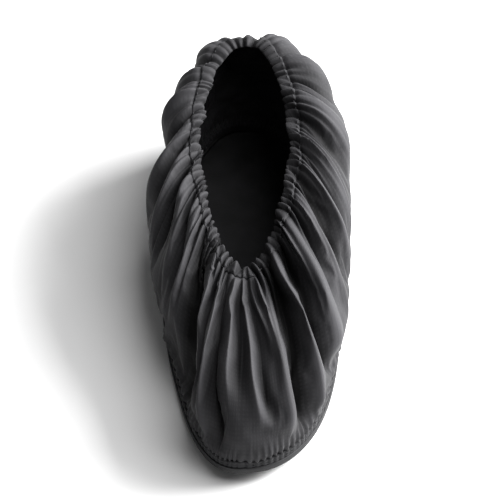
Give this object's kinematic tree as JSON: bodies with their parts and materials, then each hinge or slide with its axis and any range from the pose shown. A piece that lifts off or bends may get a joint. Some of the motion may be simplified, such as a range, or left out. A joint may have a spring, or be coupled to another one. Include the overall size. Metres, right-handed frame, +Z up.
{
  "type": "overshoe",
  "caption": "Washable cloth overshoe with a gathered elastic mouth, a stitched band and a dark grip sole, standing open in the shape that it is worn in.",
  "frame": {"origin": "middle of the overshoe's box, on the floor that its sole rests on", "axes": "+Z up, +Y from toe to heel, +X to the wearer's left, which is the right as seen from the toe"},
  "size_m": [0.1248, 0.3032, 0.0955],
  "materials": {
    "upper_cloth": "matte black woven cloth",
    "casing_cloth": "matte black woven cloth, gathered",
    "band_cloth": "matte black cloth strip with stitches",
    "sole_grip": "matte black coated cloth with grip dots"
  },
  "bodies": {
    "root": {"upper": "upper_cloth", "elastic_casing": "casing_cloth", "seam_band": "band_cloth", "sole": "sole_grip"}
  },
  "joints": []
}
